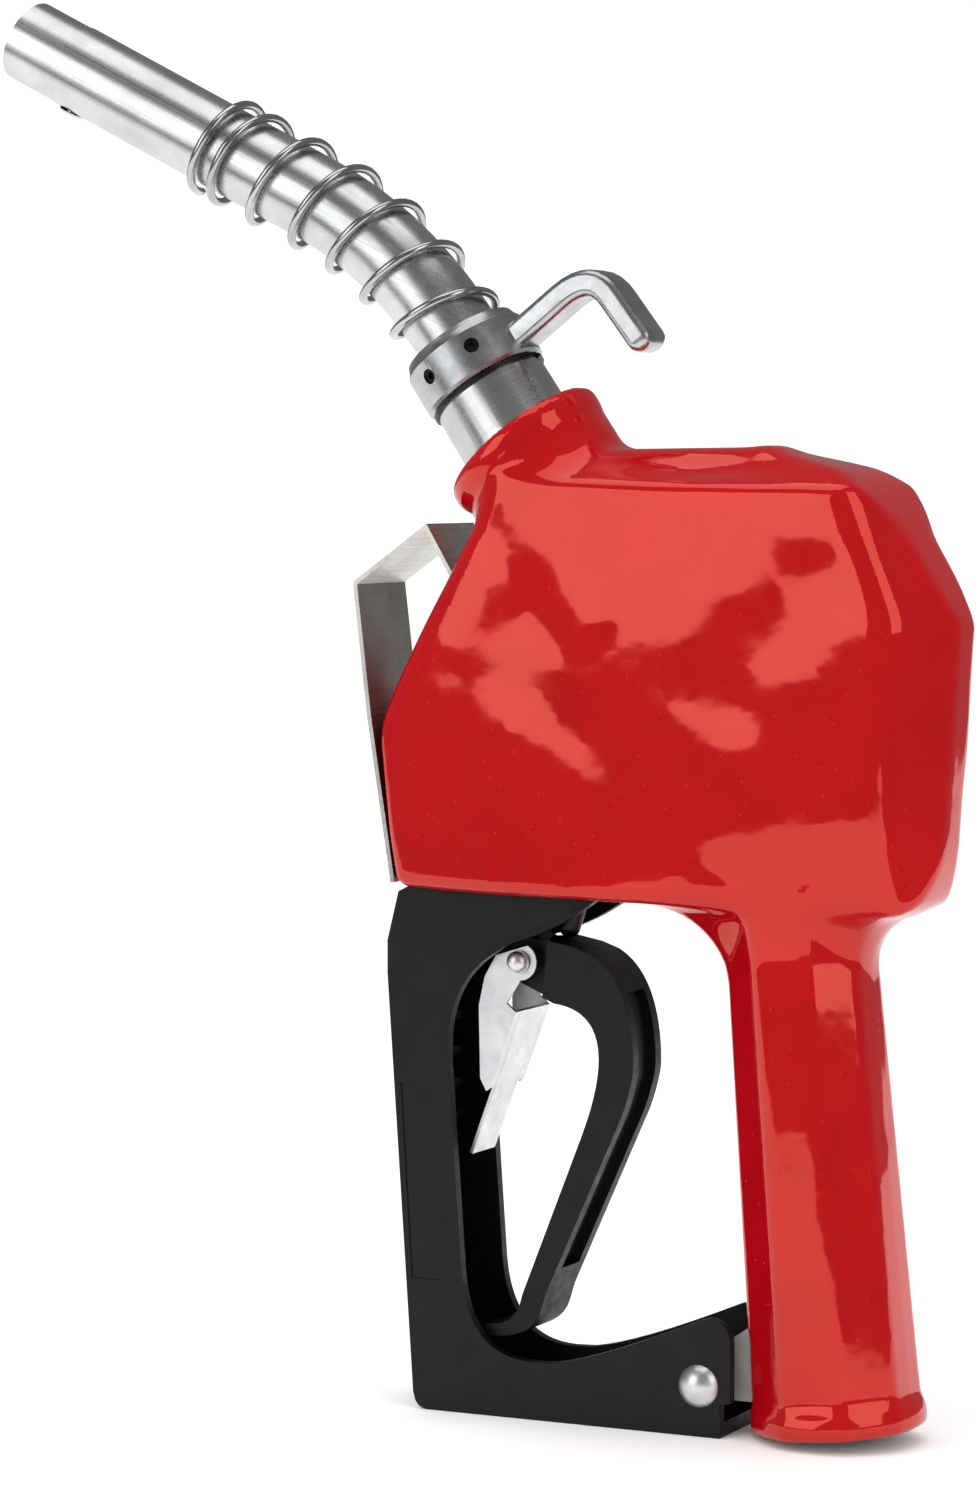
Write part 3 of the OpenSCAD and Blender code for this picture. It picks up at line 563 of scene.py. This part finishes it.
def finish_nodes():
    """Puts the finish of its material slot, or its own, on every node."""
    slots = {row["node"]: row["material_slot"] for row in frame["record"]["subparts"]}
    for name, node in frame["nodes"].items():
        material = MATERIALS[FINISHES.get(name, slots[name])]
        if not node.material_slots:
            node.data.materials.append(material)
        for place in node.material_slots:
            place.link = "OBJECT"
            place.material = material


def smoothing_group():
    """Geometry nodes that shade every face and edge smooth."""
    group = bpy.data.node_groups.new("shade_smooth", "GeometryNodeTree")
    group.interface.new_socket("Geometry", in_out="INPUT", socket_type="NodeSocketGeometry")
    group.interface.new_socket("Geometry", in_out="OUTPUT", socket_type="NodeSocketGeometry")
    start, end = group.nodes.new("NodeGroupInput"), group.nodes.new("NodeGroupOutput")
    faces, edges = (group.nodes.new("GeometryNodeSetShadeSmooth") for _ in range(2))
    edges.domain = "EDGE"
    group.links.new(start.outputs[0], faces.inputs["Geometry"])
    group.links.new(faces.outputs["Geometry"], edges.inputs["Geometry"])
    group.links.new(edges.outputs["Geometry"], end.inputs[0])
    return group


WELD_DISTANCE = 1e-5
FLAT_ANGLE, SHARP_ANGLE = math.radians(0.6), math.radians(32)
BEVEL_SEGMENTS = 2


def soften(name, width_mm, group):
    """Rounds a node's sharp edges without touching its mesh."""
    node = frame["nodes"][name]
    weld = node.modifiers.new("weld", "WELD")
    weld.merge_threshold = WELD_DISTANCE
    flat = node.modifiers.new("flat", "DECIMATE")
    flat.decimate_type = "DISSOLVE"
    flat.angle_limit = FLAT_ANGLE
    bevel = node.modifiers.new("bevel", "BEVEL")
    bevel.width = width_mm * MM
    bevel.segments = BEVEL_SEGMENTS
    bevel.limit_method = "ANGLE"
    bevel.angle_limit = SHARP_ANGLE
    smooth = node.modifiers.new("smooth", "NODES")
    smooth.node_group = group
    normals = node.modifiers.new("normals", "WEIGHTED_NORMAL")
    normals.keep_sharp = False


# The width of each softened node's bevels, in mm.
SOFTENED = {"lever_guard": 0.38, "lever": 0.8, "hook_ring": 0.45, "hold_open_clip": 0.22,
            "hanger_strap": 0.2, "spout_adapter": 0.3}


def soften_nodes():
    """Softens the CAD nodes whose edges show."""
    group = smoothing_group()
    for name, width in SOFTENED.items():
        soften(name, width, group)


SLEEVE_STEP = 1.4
SLEEVE_MARGIN_LOW, SLEEVE_MARGIN_HIGH = 2, (2, 2, 8)


def add_sleeve():
    """The red vinyl sleeve, as one smooth shell in place of the CAD's faceted one."""
    low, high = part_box("hand_insulator")
    low = np.array(low) / MM - SLEEVE_MARGIN_LOW
    high = np.array(high) / MM + np.array(SLEEVE_MARGIN_HIGH)
    points, faces = surface_net(sleeve_shell, low, high, SLEEVE_STEP)
    sleeve = make_mesh("vinyl_sleeve", points * MM, faces, MATERIALS["red_vinyl"])
    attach(sleeve, "nozzle_body")
    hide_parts("hand_insulator")


def add_spring():
    """The spring round the spout: open turns that follow the bend, then a closing turn. All in mm."""
    wire, gap, pitch, closed_pitch = 2.4, 1.0, 15.3, 6.9
    start, end_shrink = 0.2, 0.82
    open_turns, closed_turns, phase = 5.47, 1.31, math.radians(267)
    bend_radius, bend_start, spout_radius = 120.0, 36.0, 11.9
    bend_length = bend_radius * BEND
    steps, sides = 40, 14
    points = []
    total = int((open_turns + closed_turns) * steps)
    for i in range(total + 1):
        turns = i / steps
        along = min(turns, open_turns) * pitch + max(0, turns - open_turns) * closed_pitch + wire / 2 + start
        lean = BEND * max(0, min(1, along / bend_length))
        past = max(0, along - bend_length)
        across = -bend_radius * (1 - math.cos(lean)) - past * math.sin(lean)
        up = bend_start + bend_radius * math.sin(lean) + past * math.cos(lean)
        centre = MOUTH + across * NECK_ACROSS + up * NECK_UP
        level = math.cos(lean) * NECK_ACROSS + math.sin(lean) * NECK_UP
        ahead = math.cos(lean) * NECK_UP - math.sin(lean) * NECK_ACROSS
        turn = turns * 2 * math.pi + phase
        out = math.cos(turn) * level - math.sin(turn) * np.array([0, 1.0, 0])
        middle = centre + (spout_radius + gap + wire / 2) * out
        radius = wire / 2 * (end_shrink if i in (0, total) else 1)
        for k in range(sides):
            a = 2 * math.pi * k / sides
            points.append(middle + radius * (math.cos(a) * out + math.sin(a) * ahead))
    faces = [tuple(range(sides)), tuple(range(total * sides, (total + 1) * sides))[::-1]]
    for i in range(total):
        for k in range(sides):
            j = (k + 1) % sides
            faces.append((i * sides + k, (i + 1) * sides + k, (i + 1) * sides + j, i * sides + j))
    spring = make_mesh("spring_wire", np.array(points) * MM, faces, MATERIALS["spring_steel"])
    face_out(spring)
    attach(spring, "nozzle_body")
    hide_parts("spout_spring")


def face_out(piece):
    """Turns every face of a closed piece outward."""
    net = bmesh.new()
    net.from_mesh(piece.data)
    bmesh.ops.recalc_face_normals(net, faces=net.faces)
    net.to_mesh(piece.data)
    net.free()


SURROUND = 1.1
SURROUND_IN_REFLECTIONS = 0.2
LIT_POINT = (-0.11, 0, 0.19)
SOFT_BOX_DISTANCE = 1.5


def soft_box(name, azimuth, elevation, size, brightness):
    """A large even light that faces the object. Its power gives its face the brightness asked for."""
    aim = Vector(LIT_POINT)
    turn, rise = math.radians(azimuth), math.radians(elevation)
    away = Vector((math.sin(turn) * math.cos(rise), -math.cos(turn) * math.cos(rise), math.sin(rise)))
    power = brightness * math.pi * size[0] * size[1]
    area_light(name, aim + away * SOFT_BOX_DISTANCE, aim, size, power)


def add_lights():
    """A white surround, dim in reflections, with three large soft boxes."""
    world = bpy.data.worlds.new("studio")
    bpy.context.scene.world = world
    world.use_nodes = True
    nodes, links = world.node_tree.nodes, world.node_tree.links
    path = nodes.new("ShaderNodeLightPath")
    plain = nodes["Background"]
    plain.inputs["Color"].default_value = (1, 1, 1, 1)
    plain.inputs["Strength"].default_value = SURROUND
    dim = nodes.new("ShaderNodeBackground")
    dim.inputs["Color"].default_value = (1, 1, 1, 1)
    dim.inputs["Strength"].default_value = SURROUND_IN_REFLECTIONS
    mix = nodes.new("ShaderNodeMixShader")
    links.new(path.outputs["Is Glossy Ray"], mix.inputs["Fac"])
    links.new(plain.outputs["Background"], mix.inputs[1])
    links.new(dim.outputs["Background"], mix.inputs[2])
    links.new(mix.outputs["Shader"], nodes["World Output"].inputs["Surface"])
    soft_box("left_box", -30, 16.5, (1.0, 1.0), 1.9)
    soft_box("right_box", 66, 20, (0.55, 1.2), 1.7)
    soft_box("top_box", -15, 84, (1.3, 1.1), 1.4)


add_camera()
add_stage()
add_lights()
finish_nodes()
soften_nodes()
add_sleeve()
add_spring()
bpy.context.scene.view_settings.view_transform = "Standard"
